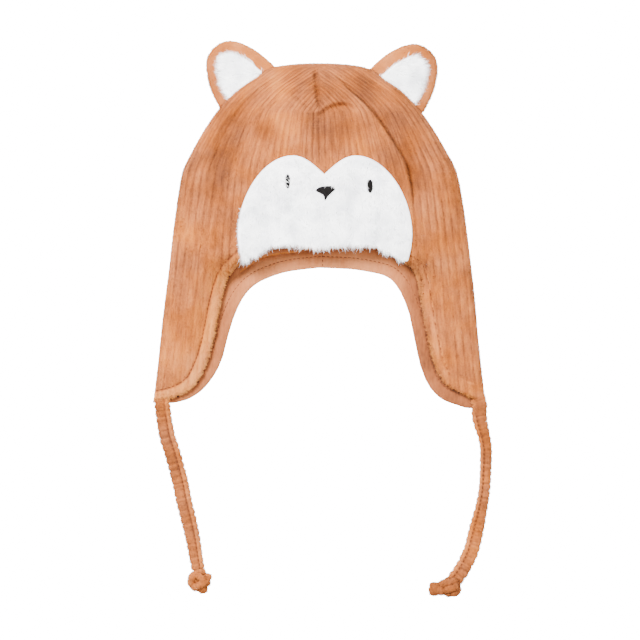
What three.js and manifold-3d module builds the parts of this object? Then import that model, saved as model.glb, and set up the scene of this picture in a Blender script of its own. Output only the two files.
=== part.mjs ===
// A baby's winter hat with an animal face, ears, ear flaps and two ties, laid down on its back.
// It is a soft pouch: wide-ribbed velour outside, cotton jersey inside, flattened into a front and a back that
// meet in a round fold along both sides and over the crown. Each ear flap is folded down its middle, so that the
// back half shows its lining beside the front half. A dart in the crown takes in the front ribs.
// X runs across the hat, Y from the flap tips to the crown, Z up from the surface that the hat lies on.
import * as THREE from "three";
import { mergeVertices } from "three/addons/utils/BufferGeometryUtils.js";
import Module from "manifold-3d";

const wasm = await Module();
wasm.setup();
const { clamp, degToRad, lerp, smoothstep } = THREE.MathUtils;

// Cloth, in millimetres
const VELOUR = 2.4;
const LINING = 1.2;
const LINING_INSET = 1; // the lining ends this far inside the velour's edge
const GAP = 0.3; // air between pieces that touch
const RIBS = 20; // ribs from the middle of the front to a side fold
const RIB_RELIEF = 0.6;
const DART_PITCH = 3.9; // width of a rib in the crown, where the dart takes ribs in

// The hat lying flat, in millimetres
const HAT_HEIGHT = 259; // crown top to the tips of the flaps
const TIP_SPREAD = 252; // from fold to fold across the tips of the flaps
const PUFF = 21; // height of the front over its folds where it is fullest
const PUFF_REACH = 70; // distance from the outline to where it is fullest

// The plush face and its embroidery, in millimetres
const FACE_WIDTH = 134;
const FACE_RISE = 71; // tops of the two lobes over the brow's edge
const FACE_NOTCH = 14; // depth of the notch between the lobes
const FACE_SHIFT = 4; // from the middle of the hat to the middle of the face
const FACE_SKIRT = 30; // how far its outline runs on below the brow's edge, which ends it
const PLUSH = 3;
const THREAD = 0.8;
const NOSE_WIDTH = 14.5;
const NOSE_HEIGHT = 11.4;
const NOSE_RISE = 44; // middle of the nose over the brow's edge
const EYE_WIDTH = 3.4;
const EYE_HEIGHT = 9.9;
const EYES = [
  { name: "eye_left", across: -27, rise: 51 },
  { name: "eye_right", across: 35, rise: 48 },
];

// The ears, in millimetres
const EAR_WIDTH = 52;
const EAR_HEIGHT = 39.5;
const EAR_THICK = 6.5;
const EAR_ROUND = 2; // rounding of the ear's edge
const EAR_FOOT = 16; // length of the ear's foot, which ends against the fold
const EAR_SINK = 3; // from the hat's outline inwards to the ear's base line
const EAR_LIFT = 1.2; // from the surface to the ear's underside
const EAR_DEPTH = 0.071; // place of the ear along the outline, as a share of the hat's height
const EAR_TILT = 37; // degrees outwards
const EAR_BORDER = 7.4; // velour round the ear's plush
const EAR_PLUSH = 2;

// The ties and their knots, in millimetres
const TIE_WIDTH = 9.4;
const TIE_THICK = 5.4;
const TIE_SIDES = 12;
const TIE_STEPS = 14;
const TIE_PLACE = 0.943; // where it leaves the flap's end, as a share of half the spread
const FLOOR_GAP = 0.05;

// Half the outline: depths below the crown as shares of the height, half widths as shares of half the spread.
const OUTLINE = [
  { depth: 0, half: 0 },
  { depth: 0.011, half: 0.268 },
  { depth: 0.046, half: 0.395 },
  { depth: 0.087, half: 0.512 },
  { depth: 0.158, half: 0.639 },
  { depth: 0.252, half: 0.752 },
  { depth: 0.32, half: 0.816 },
  { depth: 0.416, half: 0.855 },
  { depth: 0.511, half: 0.882 },
  { depth: 0.604, half: 0.904 },
  { depth: 0.75, half: 0.941 },
  { depth: 0.9, half: 0.974 },
  { depth: 1, half: 1 },
];

// Where the front ends, and where the back ends: shares of the half width, and depths as shares of the height.
const FRONT_EDGE = [
  { across: 0, depth: 0.545 },
  { across: 0.2, depth: 0.535 },
  { across: 0.37, depth: 0.541 },
  { across: 0.47, depth: 0.566 },
  { across: 0.6, depth: 0.619 },
  { across: 0.651, depth: 0.686 },
  { across: 0.694, depth: 0.812 },
  { across: 0.72, depth: 0.88 },
  { across: 0.774, depth: 0.936 },
  { across: 0.867, depth: 0.965 },
  { across: 1, depth: 0.99 },
];
const BACK_EDGE = [
  { across: 0, depth: 0.598 },
  { across: 0.2, depth: 0.604 },
  { across: 0.347, depth: 0.619 },
  { across: 0.449, depth: 0.639 },
  { across: 0.51, depth: 0.669 },
  { across: 0.55, depth: 0.707 },
  { across: 0.6, depth: 0.812 },
  { across: 0.627, depth: 0.874 },
  { across: 0.673, depth: 0.927 },
  { across: 0.727, depth: 0.959 },
  { across: 0.813, depth: 0.985 },
  { across: 0.904, depth: 0.995 },
  { across: 1, depth: 0.99 },
];

// Radius of the side folds in millimetres, and how much of PUFF the front has.
const FULLNESS = [
  { depth: 0, fold: 8, puff: 1 },
  { depth: 0.3, fold: 7.5, puff: 1 },
  { depth: 0.45, fold: 7, puff: 0.95 },
  { depth: 0.56, fold: 6.5, puff: 0.85 },
  { depth: 0.66, fold: 6.2, puff: 0.48 },
  { depth: 0.8, fold: 6, puff: 0.26 },
  { depth: 1, fold: 6, puff: 0.12 },
];

// Creases of the crown, each along the bottom of its valley from the top down. The drop and the reaches, to the
// walker's right and left, are in millimetres; points are shares of half the spread and of the height.
const CREASES = [
  {
    name: "crisp fold towards the right flap",
    drop: 5.5,
    right: 6,
    left: 24,
    line: [
      [0.09, 0.02], [0.2, 0.076], [0.305, 0.123], [0.38, 0.172], [0.45, 0.222],
      [0.495, 0.262], [0.53, 0.298], [0.56, 0.37], [0.57, 0.45],
    ],
  },
  {
    name: "soft valley towards the left flap",
    drop: 4,
    right: 15,
    left: 15,
    line: [
      [-0.16, 0.018], [-0.343, 0.091], [-0.476, 0.164], [-0.56, 0.223], [-0.59, 0.296],
      [-0.596, 0.37], [-0.608, 0.46],
    ],
  },
  {
    name: "pucker at the tip of the dart",
    drop: 2,
    right: 6,
    left: 6,
    line: [[-0.16, 0.125], [0.012, 0.15], [0.127, 0.132], [0.26, 0.158]],
  },
  {
    name: "seam of the dart",
    drop: 1.5,
    right: 4,
    left: 4,
    line: [[-0.024, 0.006], [-0.018, 0.062], [-0.006, 0.106], [0.012, 0.15]],
  },
];
const CREASE_FADE = 0.22; // share of a crease over which each of its ends dies out
const CREASE_EASE = 2; // millimetres by which a crease is wider on the inside

// The heart-topped outline of half the face: shares of half its width and of its rise.
const FACE_LOBE = [
  { away: [0.114, 0.9], into: [0.227, 1], to: [0.364, 1] },
  { away: [0.705, 1], into: [1, 0.564], to: [1, 0.16] },
  { away: [1, 0.03], into: [0.966, -0.085], to: [0.932, -0.19] },
];

// The nose, as shares of half its width and height, and half an ear, as shares of half its width and its height.
const NOSE_OUTLINE = [[-1, 0.44], [-0.07, -1], [0.19, -0.32], [1, 0.56], [0.6, 1], [-0.47, 0.89]];
const EAR_OUTLINE = [
  { half: 1, rise: 0 },
  { half: 0.92, rise: 0.22 },
  { half: 0.8, rise: 0.45 },
  { half: 0.67, rise: 0.63 },
  { half: 0.52, rise: 0.8 },
  { half: 0.3, rise: 0.93 },
  { half: 0.1, rise: 1 },
];

// The ties as they lie: millimetres across and along from where each leaves its flap, and the lumps of each knot.
const TIES = [
  {
    name: "left",
    side: -1,
    route: [
      [-0.5, 8], [0, 0], [0.7, -8.5], [2, -17], [3.7, -25.5], [6.4, -34], [8.9, -42.5], [11.2, -51],
      [13.4, -59.5], [15.1, -68], [16.9, -76.5], [19, -85], [21.1, -93.5], [22.9, -102], [24.4, -110.5],
      [25.8, -119], [27.3, -127],
    ],
    lumps: [
      { at: [28.6, -132.2], size: [16.7, 13.8, 12], turn: -12 },
      { at: [31, -137.4], size: [7.6, 9, 8], turn: 15 },
    ],
  },
  {
    name: "right",
    side: 1,
    route: [
      [-0.3, 8], [0, 0], [0.3, -8.5], [1.9, -17], [4, -25.5], [5.1, -34], [5.2, -42.5], [4.9, -51],
      [4.7, -59.5], [3.8, -68], [2.2, -76.5], [0, -85], [-2.4, -93.5], [-4.5, -102], [-6.5, -110.5],
      [-9.8, -119], [-13.4, -127], [-17, -133.5],
    ],
    lumps: [
      { at: [-22.6, -138.3], size: [17.6, 14.4, 12], turn: 12 },
      { at: [-33, -139.4], size: [11, 10, 9], turn: 5 },
    ],
  },
];

// How finely each cloth is drawn: rows in the crown and below it, and columns by rib from the middle to the fold
const CROWN_DEPTH = 0.27; // above this depth rows are level, below it they turn to follow the edge
const OUTER_ROWS = { crown: 11, body: 8 };
const HIDDEN_ROWS = { crown: 7, body: 6 };
const RIB_COLUMNS = Array.from({ length: 2 * RIBS + 1 }, (_, half) => half / 2);
const PLAIN_COLUMNS = [0, 0.1, 0.2, 0.3, 0.4, 0.48, 0.53, 0.58, 0.62, 0.66, 0.7, 0.75, 0.83, 0.91, 0.955, 0.98, 1]
  .map((share) => share * RIBS);
const OUTLINE_STEPS = 160;
const SMALLEST = 0.25; // millimetres: closer to the middle than this, a point is on the middle
const OVER = 120; // taller than anything here, for the tools that cut outlines

const FRONT = 1;
const BACK = -1;
const VELOUR_COLOUR = 0xd0936c;
const LINING_COLOUR = 0xd2a07c;
const PLUSH_COLOUR = 0xf0f0f0;
const THREAD_COLOUR = 0x282828;

// A smooth curve through the rows of a table that never swings past them
function curve(rows, from, to) {
  const at = rows.map((row) => row[from]);
  const value = rows.map((row) => row[to]);
  const slope = at.slice(1).map((end, i) => (value[i + 1] - value[i]) / (end - at[i]));
  const tangent = at.map((_, i) => {
    const before = slope[Math.max(i - 1, 0)];
    const after = slope[Math.min(i, slope.length - 1)];
    return before * after <= 0 ? 0 : (2 * before * after) / (before + after);
  });
  return (wanted) => {
    const x = clamp(wanted, at[0], at[at.length - 1]);
    const i = Math.min(at.findLastIndex((start) => start <= x), at.length - 2);
    const span = at[i + 1] - at[i];
    const t = (x - at[i]) / span;
    const rest = 1 - t;
    const ends = value[i] * rest * rest * (1 + 2 * t) + value[i + 1] * t * t * (3 - 2 * t);
    return ends + span * t * rest * (tangent[i] * rest - tangent[i + 1] * t);
  };
}

const outlineCurve = curve(OUTLINE.map(({ depth, half }) => ({ root: Math.sqrt(depth), half })), "root", "half");
const frontEdge = curve(FRONT_EDGE, "across", "depth");
const backEdge = curve(BACK_EDGE, "across", "depth");
const foldRadius = curve(FULLNESS, "depth", "fold");
const puffShare = curve(FULLNESS, "depth", "puff");
const halfWidth = (depth) => (TIP_SPREAD / 2) * outlineCurve(Math.sqrt(depth));

// The right half of the outline from the crown down, run on past the tips
const OUTLINE_LINE = Array.from({ length: OUTLINE_STEPS + 1 }, (_, i) => {
  const depth = 1.1 * (i / OUTLINE_STEPS) ** 2;
  return new THREE.Vector2(halfWidth(depth), -depth * HAT_HEIGHT);
});
const CREASE_LINES = CREASES.map(({ line }) => {
  const points = line.map(([across, depth]) => new THREE.Vector2((across * TIP_SPREAD) / 2, -depth * HAT_HEIGHT));
  return new THREE.SplineCurve(points).getPoints(4 * points.length);
});

// The nearest place on a line: how far, on which side, how far along, and the way from there
function nearest(line, x, y) {
  const point = new THREE.Vector2(x, y);
  let best = { distance: Infinity };
  for (let i = 1; i < line.length; i += 1) {
    const way = line[i].clone().sub(line[i - 1]);
    const offset = point.clone().sub(line[i - 1]);
    const share = clamp(offset.dot(way) / way.lengthSq(), 0, 1);
    const away = offset.clone().addScaledVector(way, -share);
    if (away.length() < best.distance) {
      const right = new THREE.Vector2(way.y, -way.x).normalize();
      best = { distance: away.length(), away, right, along: (i - 1 + share) / (line.length - 1) };
    }
  }
  return best;
}

// How far the creases lower the front, with wider valleys on its inner faces
function creased(x, y, inside) {
  const ease = inside ? CREASE_EASE : 0;
  return CREASES.reduce((sum, crease, i) => {
    const { distance, away, right, along } = nearest(CREASE_LINES[i], x, y);
    const reach = (away.dot(right) > 0 ? crease.right : crease.left) + ease;
    const fade = smoothstep(Math.min(along, 1 - along), 0, CREASE_FADE);
    return sum + crease.drop * fade * (1 - smoothstep(distance, 0, reach));
  }, 0);
}

// A point of the hat's cloth. Its column is counted in ribs from the middle to a side fold, its depth from the
// crown; inset is how far it lies under the velour's face.
function place({ layer, inset, ribbed, inside }, column, depth) {
  const half = halfWidth(depth);
  const pitch = Math.max(half / RIBS, DART_PITCH);
  const free = half - (RIBS - Math.abs(column)) * pitch;
  const x = free < SMALLEST ? 0 : free;
  const y = -depth * HAT_HEIGHT;
  const side = Math.sign(column) || 1;
  const fold = foldRadius(depth);
  const { distance, away, right } = nearest(OUTLINE_LINE, x, y);
  const onFold = depth === 0 || Math.abs(column) === RIBS;
  const turn = onFold ? 0 : Math.acos(clamp(1 - distance / fold, 0, 1));
  const inwards = distance > SMALLEST && !onFold ? away.normalize() : right;
  const shift = inset * Math.cos(turn);
  let z = fold + layer * (fold - inset) * Math.sin(turn);
  if (layer === FRONT) {
    const full = 1 - (1 - Math.min(1, (onFold ? 0 : distance) / PUFF_REACH)) ** 2;
    z += PUFF * puffShare(depth) * full - creased(side * x, y, inside) * Math.sin(turn);
  }
  if (ribbed) {
    const rib = RIBS - (half - x) / pitch;
    const taken = Math.min(1, RIBS - half / pitch);
    const free = taken > 0 ? smoothstep(x, 0, 2 * pitch * taken) : 1;
    z -= RIB_RELIEF * (0.5 + 0.5 * Math.cos(2 * Math.PI * rib)) * free * Math.sin(turn);
  }
  return new THREE.Vector3(x === 0 ? 0 : side * (x + inwards.x * shift), y + inwards.y * shift, z);
}

const bothSides = (columns) => [...columns.slice(1).reverse().map((column) => -column), ...columns];

// A cloth's face as rows of points from the crown to its edge
function sheet(cloth, columns, rows, trim = 0) {
  const edge = cloth.layer === FRONT ? frontEdge : backEdge;
  return Array.from({ length: rows.crown + rows.body + 1 }, (_, row) => columns.map((column) => {
    const last = edge(Math.abs(column) / RIBS) - trim / HAT_HEIGHT;
    const depth = row < rows.crown
      ? CROWN_DEPTH * (row / rows.crown) ** 2
      : lerp(CROWN_DEPTH, last, (row - rows.crown) / rows.body);
    return place(cloth, column, depth);
  }));
}

// Triangles over a sheet, facing up or down, mirrored about its middle column
function cover(grid, up) {
  const faces = [];
  for (let row = 1; row < grid.length; row += 1) {
    for (let i = 1; i < grid[row].length; i += 1) {
      const [a, b, c, d] = [grid[row - 1][i - 1], grid[row][i - 1], grid[row][i], grid[row - 1][i]];
      const right = 2 * i > grid[row].length;
      faces.push(...(right ? [[a, b, c], [a, c, d]] : [[a, b, d], [b, c, d]]));
    }
  }
  return up ? faces : faces.map(([a, b, c]) => [a, c, b]);
}

// Triangles between two rows of points with their own columns, the first row above the second, facing the wearer
function join(upper, lower, upperColumns, lowerColumns) {
  const faces = [];
  let i = 0;
  let j = 0;
  while (i + 1 < upper.length || j + 1 < lower.length) {
    const step = j + 1 === lower.length || (i + 1 < upper.length && upperColumns[i + 1] <= lowerColumns[j + 1]);
    faces.push(step ? [upper[i], lower[j], upper[i + 1]] : [upper[i], lower[j], lower[j + 1]]);
    i += step ? 1 : 0;
    j += step ? 0 : 1;
  }
  return faces;
}

const lastRow = (grid) => grid[grid.length - 1];

function geometryOf(faces) {
  const geometry = new THREE.BufferGeometry().setFromPoints(faces.flat());
  const merged = mergeVertices(geometry, 1e-4);
  const index = Array.from(merged.index.array);
  const kept = [];
  for (let i = 0; i < index.length; i += 3) {
    const corners = index.slice(i, i + 3);
    if (new Set(corners).size === 3) {
      kept.push(...corners);
    }
  }
  merged.setIndex(kept);
  return merged;
}

function solidOf(geometry) {
  const bare = geometry.clone();
  bare.deleteAttribute("normal");
  bare.deleteAttribute("uv");
  const merged = mergeVertices(bare, 1e-4);
  return new wasm.Manifold(new wasm.Mesh({
    numProp: 3,
    vertProperties: Float32Array.from(merged.attributes.position.array),
    triVerts: Uint32Array.from(merged.index.array),
  }));
}

function geometryFrom(solid) {
  const { vertProperties, triVerts } = solid.getMesh();
  const geometry = new THREE.BufferGeometry();
  geometry.setAttribute("position", new THREE.BufferAttribute(vertProperties, 3));
  geometry.setIndex(new THREE.BufferAttribute(triVerts, 1));
  return geometry;
}

function piece(name, geometry, color, roughness) {
  geometry.computeVertexNormals();
  const mesh = new THREE.Mesh(geometry, new THREE.MeshStandardMaterial({ color, roughness, metalness: 0 }));
  mesh.name = name;
  return mesh;
}

// A pouch wall: its outer and its inner faces, joined along the rim
function pouch(outer, inner) {
  return geometryOf([
    ...cover(outer.front, true),
    ...cover(outer.back, false),
    ...cover(inner.front, false),
    ...cover(inner.back, true),
    ...join(lastRow(outer.front), lastRow(inner.front), outer.frontColumns, inner.frontColumns),
    ...join(lastRow(inner.back), lastRow(outer.back), inner.backColumns, outer.backColumns),
  ]);
}

function pouchFace({ inset, ribbed, inside, frontColumns, rows, trim }) {
  const columns = bothSides(PLAIN_COLUMNS);
  return {
    front: sheet({ layer: FRONT, inset, ribbed, inside }, bothSides(frontColumns), rows, trim),
    back: sheet({ layer: BACK, inset }, columns, rows, trim),
    frontColumns: bothSides(frontColumns),
    backColumns: columns,
  };
}

const hiddenFace = (inset, trim) => pouchFace({
  inset, trim, inside: true, frontColumns: PLAIN_COLUMNS, rows: HIDDEN_ROWS,
});
const outside = pouchFace({ inset: 0, ribbed: true, frontColumns: RIB_COLUMNS, rows: OUTER_ROWS });

const outerShell = () => pouch(outside, hiddenFace(VELOUR));
const liningPouch = () => pouch(
  hiddenFace(VELOUR + GAP, LINING_INSET),
  hiddenFace(VELOUR + GAP + LINING, LINING_INSET),
);

// An upright prism over a flat outline, from well below the hat to well above it
function prism(shape) {
  const geometry = new THREE.ExtrudeGeometry(shape, { depth: 2 * OVER, bevelEnabled: false, curveSegments: 7 });
  return solidOf(geometry.translate(0, 0, -OVER));
}

// A layer that lies on the front of the hat: from one height over the velour to another, inside an outline
function laidOn(low, high, shape) {
  const ribTops = RIB_COLUMNS.filter((column) => column % 1 !== 0 && column < 0.85 * RIBS);
  const columns = [...ribTops.map((column) => -column).reverse(), ...ribTops];
  const above = OUTER_ROWS.crown - 2;
  const top = sheet({ layer: FRONT, inset: -high }, columns, OUTER_ROWS).slice(above);
  const bottom = sheet({ layer: FRONT, inset: -low }, columns, OUTER_ROWS).slice(above);
  const around = (grid) => [
    ...lastRow(grid),
    ...grid.map((row) => row[row.length - 1]).reverse().slice(1),
    ...grid[0].slice().reverse().slice(1),
    ...grid.map((row) => row[0]).slice(1),
  ];
  const upper = around(top);
  const lower = around(bottom);
  const sides = upper.slice(1).flatMap((next, i) => [
    [upper[i], lower[i], next],
    [next, lower[i], lower[i + 1]],
  ]);
  const slab = solidOf(geometryOf([...cover(top, true), ...cover(bottom, false), ...sides]));
  return geometryFrom(slab.intersect(prism(shape)));
}

function faceOutline() {
  const x = (share, side) => FACE_SHIFT + (side * share * FACE_WIDTH) / 2;
  const y = (share) => share * FACE_RISE - frontEdge(0) * HAT_HEIGHT;
  const notch = y(1) - FACE_NOTCH;
  const shape = new THREE.Shape().moveTo(FACE_SHIFT, notch);
  FACE_LOBE.forEach(({ away, into, to }) => {
    shape.bezierCurveTo(x(away[0], -1), y(away[1]), x(into[0], -1), y(into[1]), x(to[0], -1), y(to[1]));
  });
  shape.lineTo(x(FACE_LOBE[2].to[0], -1), y(0) - FACE_SKIRT);
  shape.lineTo(x(FACE_LOBE[2].to[0], 1), y(0) - FACE_SKIRT);
  shape.lineTo(x(FACE_LOBE[2].to[0], 1), y(FACE_LOBE[2].to[1]));
  const [bottom, outer, inner] = FACE_LOBE.slice().reverse();
  [[bottom, outer.to], [outer, inner.to]].forEach(([{ away, into }, to]) => {
    shape.bezierCurveTo(x(into[0], 1), y(into[1]), x(away[0], 1), y(away[1]), x(to[0], 1), y(to[1]));
  });
  shape.bezierCurveTo(
    x(inner.into[0], 1), y(inner.into[1]), x(inner.away[0], 1), y(inner.away[1]), FACE_SHIFT, notch,
  );
  return shape;
}

// An outline through points given as shares of its half width and half height about a place on the face
function embroidered(points, width, height, across, rise) {
  const around = points.map(([x, y]) => new THREE.Vector2(
    FACE_SHIFT + across + (x * width) / 2,
    rise - frontEdge(0) * HAT_HEIGHT + (y * height) / 2,
  ));
  return laidOn(GAP + PLUSH + GAP, GAP + PLUSH + GAP + THREAD, new THREE.Shape(around));
}

const EYE_OUTLINE = Array.from({ length: 12 }, (_, i) => [Math.cos((i * Math.PI) / 6), Math.sin((i * Math.PI) / 6)]);

// The hat's crown filled in and a little larger, which the ears end against
function filledCrown() {
  const { front, back, frontColumns, backColumns } = pouchFace({
    inset: -GAP, frontColumns: RIB_COLUMNS, rows: OUTER_ROWS,
  });
  const upper = front.slice(0, OUTER_ROWS.crown + 1);
  const lower = back.slice(0, OUTER_ROWS.crown + 1);
  return solidOf(geometryOf([
    ...cover(upper, true),
    ...cover(lower, false),
    ...join(lastRow(upper), lastRow(lower), frontColumns, backColumns),
  ]));
}

// An ear's outline with its foot, drawn in from the edge by a border
function earOutline(border) {
  const width = EAR_WIDTH - 2 * border;
  const height = EAR_HEIGHT - border;
  const right = EAR_OUTLINE.map(({ half, rise }) => new THREE.Vector2((half * width) / 2, rise * height));
  const left = right.map(({ x, y }) => new THREE.Vector2(-x, y)).reverse();
  return new THREE.Shape([
    new THREE.Vector2(-width / 2, -EAR_FOOT),
    new THREE.Vector2(width / 2, -EAR_FOOT),
    ...right,
    ...left,
  ]);
}

// An ear or its plush: a plate with rounded edges, stood at its place on the outline and cut off by the crown
function earPlate(side, border, thick, round, lift, crown) {
  const plate = new THREE.ExtrudeGeometry(earOutline(border), {
    depth: thick - 2 * round, bevelThickness: round, bevelSize: round, bevelOffset: -round, bevelSegments: 2,
  });
  const tilt = degToRad(EAR_TILT);
  const x = halfWidth(EAR_DEPTH) - EAR_SINK * Math.sin(tilt);
  const y = -EAR_DEPTH * HAT_HEIGHT - EAR_SINK * Math.cos(tilt);
  plate.rotateZ(-side * tilt);
  plate.translate(side * x, y, lift + round);
  return geometryFrom(solidOf(plate).subtract(crown));
}

function tieSection() {
  return new THREE.Shape(Array.from({ length: TIE_SIDES }, (_, i) => {
    const angle = (2 * Math.PI * i) / TIE_SIDES;
    return new THREE.Vector2((TIE_THICK / 2) * Math.cos(angle), (TIE_WIDTH / 2) * Math.sin(angle));
  }));
}

// What a flap's end takes away from a tie that starts inside it: the back's edge and everything above
function flapEnd(side) {
  const edge = lastRow(outside.back).filter((_, i) => side * outside.backColumns[i] > RIBS / 2);
  const outwards = side > 0 ? edge : edge.reverse();
  const corner = outwards[outwards.length - 1];
  const points = outwards.map(({ x, y }) => new THREE.Vector2(x, y - GAP));
  points.push(new THREE.Vector2(corner.x + side * TIE_WIDTH, corner.y - GAP));
  points.push(new THREE.Vector2(corner.x + side * TIE_WIDTH, 0));
  points.push(new THREE.Vector2(outwards[0].x, 0));
  return prism(new THREE.Shape(points));
}

function tieStart(side) {
  const rim = outside.back.length - 1;
  const low = Math.min(...outside.back[rim].map(({ y }) => y));
  return new THREE.Vector3((side * TIE_PLACE * TIP_SPREAD) / 2, low, TIE_THICK / 2 + FLOOR_GAP);
}

function tieCurve({ side, route }) {
  const start = tieStart(side);
  const points = route.map(([across, along]) => start.clone().add(new THREE.Vector3(across, along, 0)));
  return new THREE.CatmullRomCurve3(points, false, "centripetal");
}

function tie(end) {
  const tube = new THREE.ExtrudeGeometry(tieSection(), { steps: TIE_STEPS, extrudePath: tieCurve(end) });
  return geometryFrom(solidOf(tube).subtract(flapEnd(end.side)));
}

// A knot: its lumps in one, cut off flat where the tie enters it
function knot(end) {
  const start = tieStart(end.side);
  const lumps = end.lumps.map(({ at, size, turn }) => {
    const ball = new THREE.SphereGeometry(0.5, 14, 10).rotateX(Math.PI / 2).scale(...size).rotateZ(degToRad(turn));
    return solidOf(ball.translate(start.x + at[0], start.y + at[1], size[2] / 2 + FLOOR_GAP));
  });
  const curveOfTie = tieCurve(end);
  const way = curveOfTie.getTangent(1);
  const entry = curveOfTie.getPoint(1).addScaledVector(way, GAP);
  return geometryFrom(lumps.reduce((all, lump) => all.add(lump)).trimByPlane(way.toArray(), way.dot(entry)));
}

const crown = filledCrown();
const pieces = [
  piece("outer_shell", outerShell(), VELOUR_COLOUR, 0.9),
  piece("lining", liningPouch(), LINING_COLOUR, 0.95),
  piece("face_patch", laidOn(GAP, GAP + PLUSH, faceOutline()), PLUSH_COLOUR, 1),
  piece("nose", embroidered(NOSE_OUTLINE, NOSE_WIDTH, NOSE_HEIGHT, 1, NOSE_RISE), THREAD_COLOUR, 0.6),
];
EYES.forEach(({ name, across, rise }) => {
  pieces.push(piece(name, embroidered(EYE_OUTLINE, EYE_WIDTH, EYE_HEIGHT, across, rise), THREAD_COLOUR, 0.6));
});
[["left", -1], ["right", 1]].forEach(([name, side]) => {
  const ear = earPlate(side, 0, EAR_THICK, EAR_ROUND, EAR_LIFT, crown);
  const fur = earPlate(side, EAR_BORDER, EAR_PLUSH, EAR_PLUSH / 4, EAR_LIFT + EAR_THICK + GAP, crown);
  pieces.push(piece(`ear_${name}`, ear, VELOUR_COLOUR, 0.9));
  pieces.push(piece(`ear_fur_${name}`, fur, PLUSH_COLOUR, 1));
});

// The origin is under the middle of the hat without its ties
const extent = new THREE.Box3();
pieces.forEach((mesh) => extent.expandByObject(mesh));
TIES.forEach((end) => {
  pieces.push(piece(`tie_${end.name}`, tie(end), VELOUR_COLOUR, 0.9));
  pieces.push(piece(`knot_${end.name}`, knot(end), VELOUR_COLOUR, 0.9));
});
const hat = new THREE.Group();
hat.add(...pieces);
hat.position.set(-(extent.min.x + extent.max.x) / 2, -(extent.min.y + extent.max.y) / 2, -extent.min.z);

const root = new THREE.Group();
root.add(hat);
export default root;
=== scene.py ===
import math

import bpy
import numpy as np
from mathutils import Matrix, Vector, noise


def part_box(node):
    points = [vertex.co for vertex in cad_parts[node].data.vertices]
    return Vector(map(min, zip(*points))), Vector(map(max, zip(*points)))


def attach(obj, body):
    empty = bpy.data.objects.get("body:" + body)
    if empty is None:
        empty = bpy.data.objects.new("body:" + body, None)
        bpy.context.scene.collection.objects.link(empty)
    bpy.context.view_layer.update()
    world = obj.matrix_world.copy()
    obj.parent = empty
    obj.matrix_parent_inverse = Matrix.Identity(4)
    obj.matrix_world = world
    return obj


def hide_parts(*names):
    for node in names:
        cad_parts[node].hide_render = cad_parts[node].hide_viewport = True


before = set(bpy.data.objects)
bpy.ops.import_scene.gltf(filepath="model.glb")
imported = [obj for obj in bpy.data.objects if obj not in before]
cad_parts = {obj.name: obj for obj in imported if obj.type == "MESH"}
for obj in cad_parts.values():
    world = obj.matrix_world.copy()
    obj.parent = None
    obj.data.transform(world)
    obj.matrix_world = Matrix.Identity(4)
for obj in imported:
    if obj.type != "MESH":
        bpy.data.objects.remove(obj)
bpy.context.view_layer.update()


# Outer shell
# The outside of the hat and its ear flaps, cut from wide-ribbed cotton velour, with a dart sewn into the
# crown and its edge turned in. It lies flattened: front and back meet in a round fold along both sides.
MM = 0.001
CROWN_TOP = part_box("outer_shell")[1].y / MM
HAT_HEIGHT = 259
TIP_SPREAD = 252
RIBS = 20
DART_PITCH = 3.9
VELOUR = 2.2
PUFF = 21
PUFF_REACH = 70
# Above this share of the height rows of points are level, and below it they turn to follow the edge
CROWN_DEPTH = 0.27
# Points closer than this, in millimetres, are welded
WELD = 0.002
FRONT = 1
BACK = -1
# How much of the gap between the flaps' two layers is closed at the front edge, and how far in that reaches
EDGE_DOWN = 0.85
EDGE_REACH = 24
BOTH_CLOTHS = 3.75
# Depths, as shares of the height, between which the brow gives way to the flaps
FLAPS_FROM = (0.54, 0.66)
# Gentle waves of the front: height, size across, and a seed
WAVES = [(0.9, 34, 3.0), (0.5, 15, 8.0)]

# Depths below the crown as shares of the height, and half widths as shares of half the spread
OUTLINE = [
    (0, 0), (0.011, 0.268), (0.046, 0.395), (0.087, 0.512), (0.158, 0.639), (0.252, 0.757), (0.32, 0.822),
    (0.416, 0.855), (0.511, 0.882), (0.604, 0.904), (0.75, 0.941), (0.9, 0.974), (1, 1),
]
# The right side lies a little further out, by so many millimetres at a depth
RIGHT_SIDE = [(0, 0), (0.2, 0.1), (0.3, 0.9), (0.42, 1.9), (0.62, 2), (0.8, 0.8), (1, 0.5), (1.05, 0)]
# Shares of the half width, and depths of the edge there
FRONT_EDGE_LEFT = [
    (0, 0.545), (0.2, 0.535), (0.37, 0.541), (0.47, 0.566), (0.6, 0.619), (0.64, 0.686), (0.675, 0.812),
    (0.708, 0.88), (0.765, 0.94), (0.86, 0.972), (1, 0.99),
]
FRONT_EDGE_RIGHT = [
    (0, 0.545), (0.2, 0.535), (0.37, 0.538), (0.47, 0.553), (0.56, 0.58), (0.627, 0.604), (0.65, 0.64),
    (0.668, 0.722), (0.694, 0.812), (0.72, 0.88), (0.774, 0.936), (0.867, 0.965), (1, 0.99),
]
BACK_EDGE_LEFT = [
    (0, 0.598), (0.2, 0.609), (0.364, 0.633), (0.44, 0.655), (0.502, 0.692), (0.551, 0.751), (0.581, 0.81),
    (0.605, 0.868), (0.664, 0.927), (0.727, 0.963), (0.813, 0.987), (0.904, 0.995), (1, 0.99),
]
BACK_EDGE_RIGHT = [
    (0, 0.598), (0.2, 0.602), (0.347, 0.612), (0.42, 0.62), (0.47, 0.633), (0.515, 0.66), (0.547, 0.692),
    (0.583, 0.751), (0.6, 0.81), (0.617, 0.868), (0.652, 0.927), (0.69, 0.96), (0.75, 0.986), (0.83, 1.001),
    (0.9, 1.01), (0.95, 1.01), (1, 0.99),
]
# Depth, radius of the side fold in millimetres, and share of the puff
FULLNESS = [
    (0, 8, 1), (0.3, 7.5, 1), (0.45, 7, 0.95), (0.56, 6.5, 0.85), (0.66, 6.2, 0.48), (0.8, 6, 0.26),
    (1, 6, 0.12),
]
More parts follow.
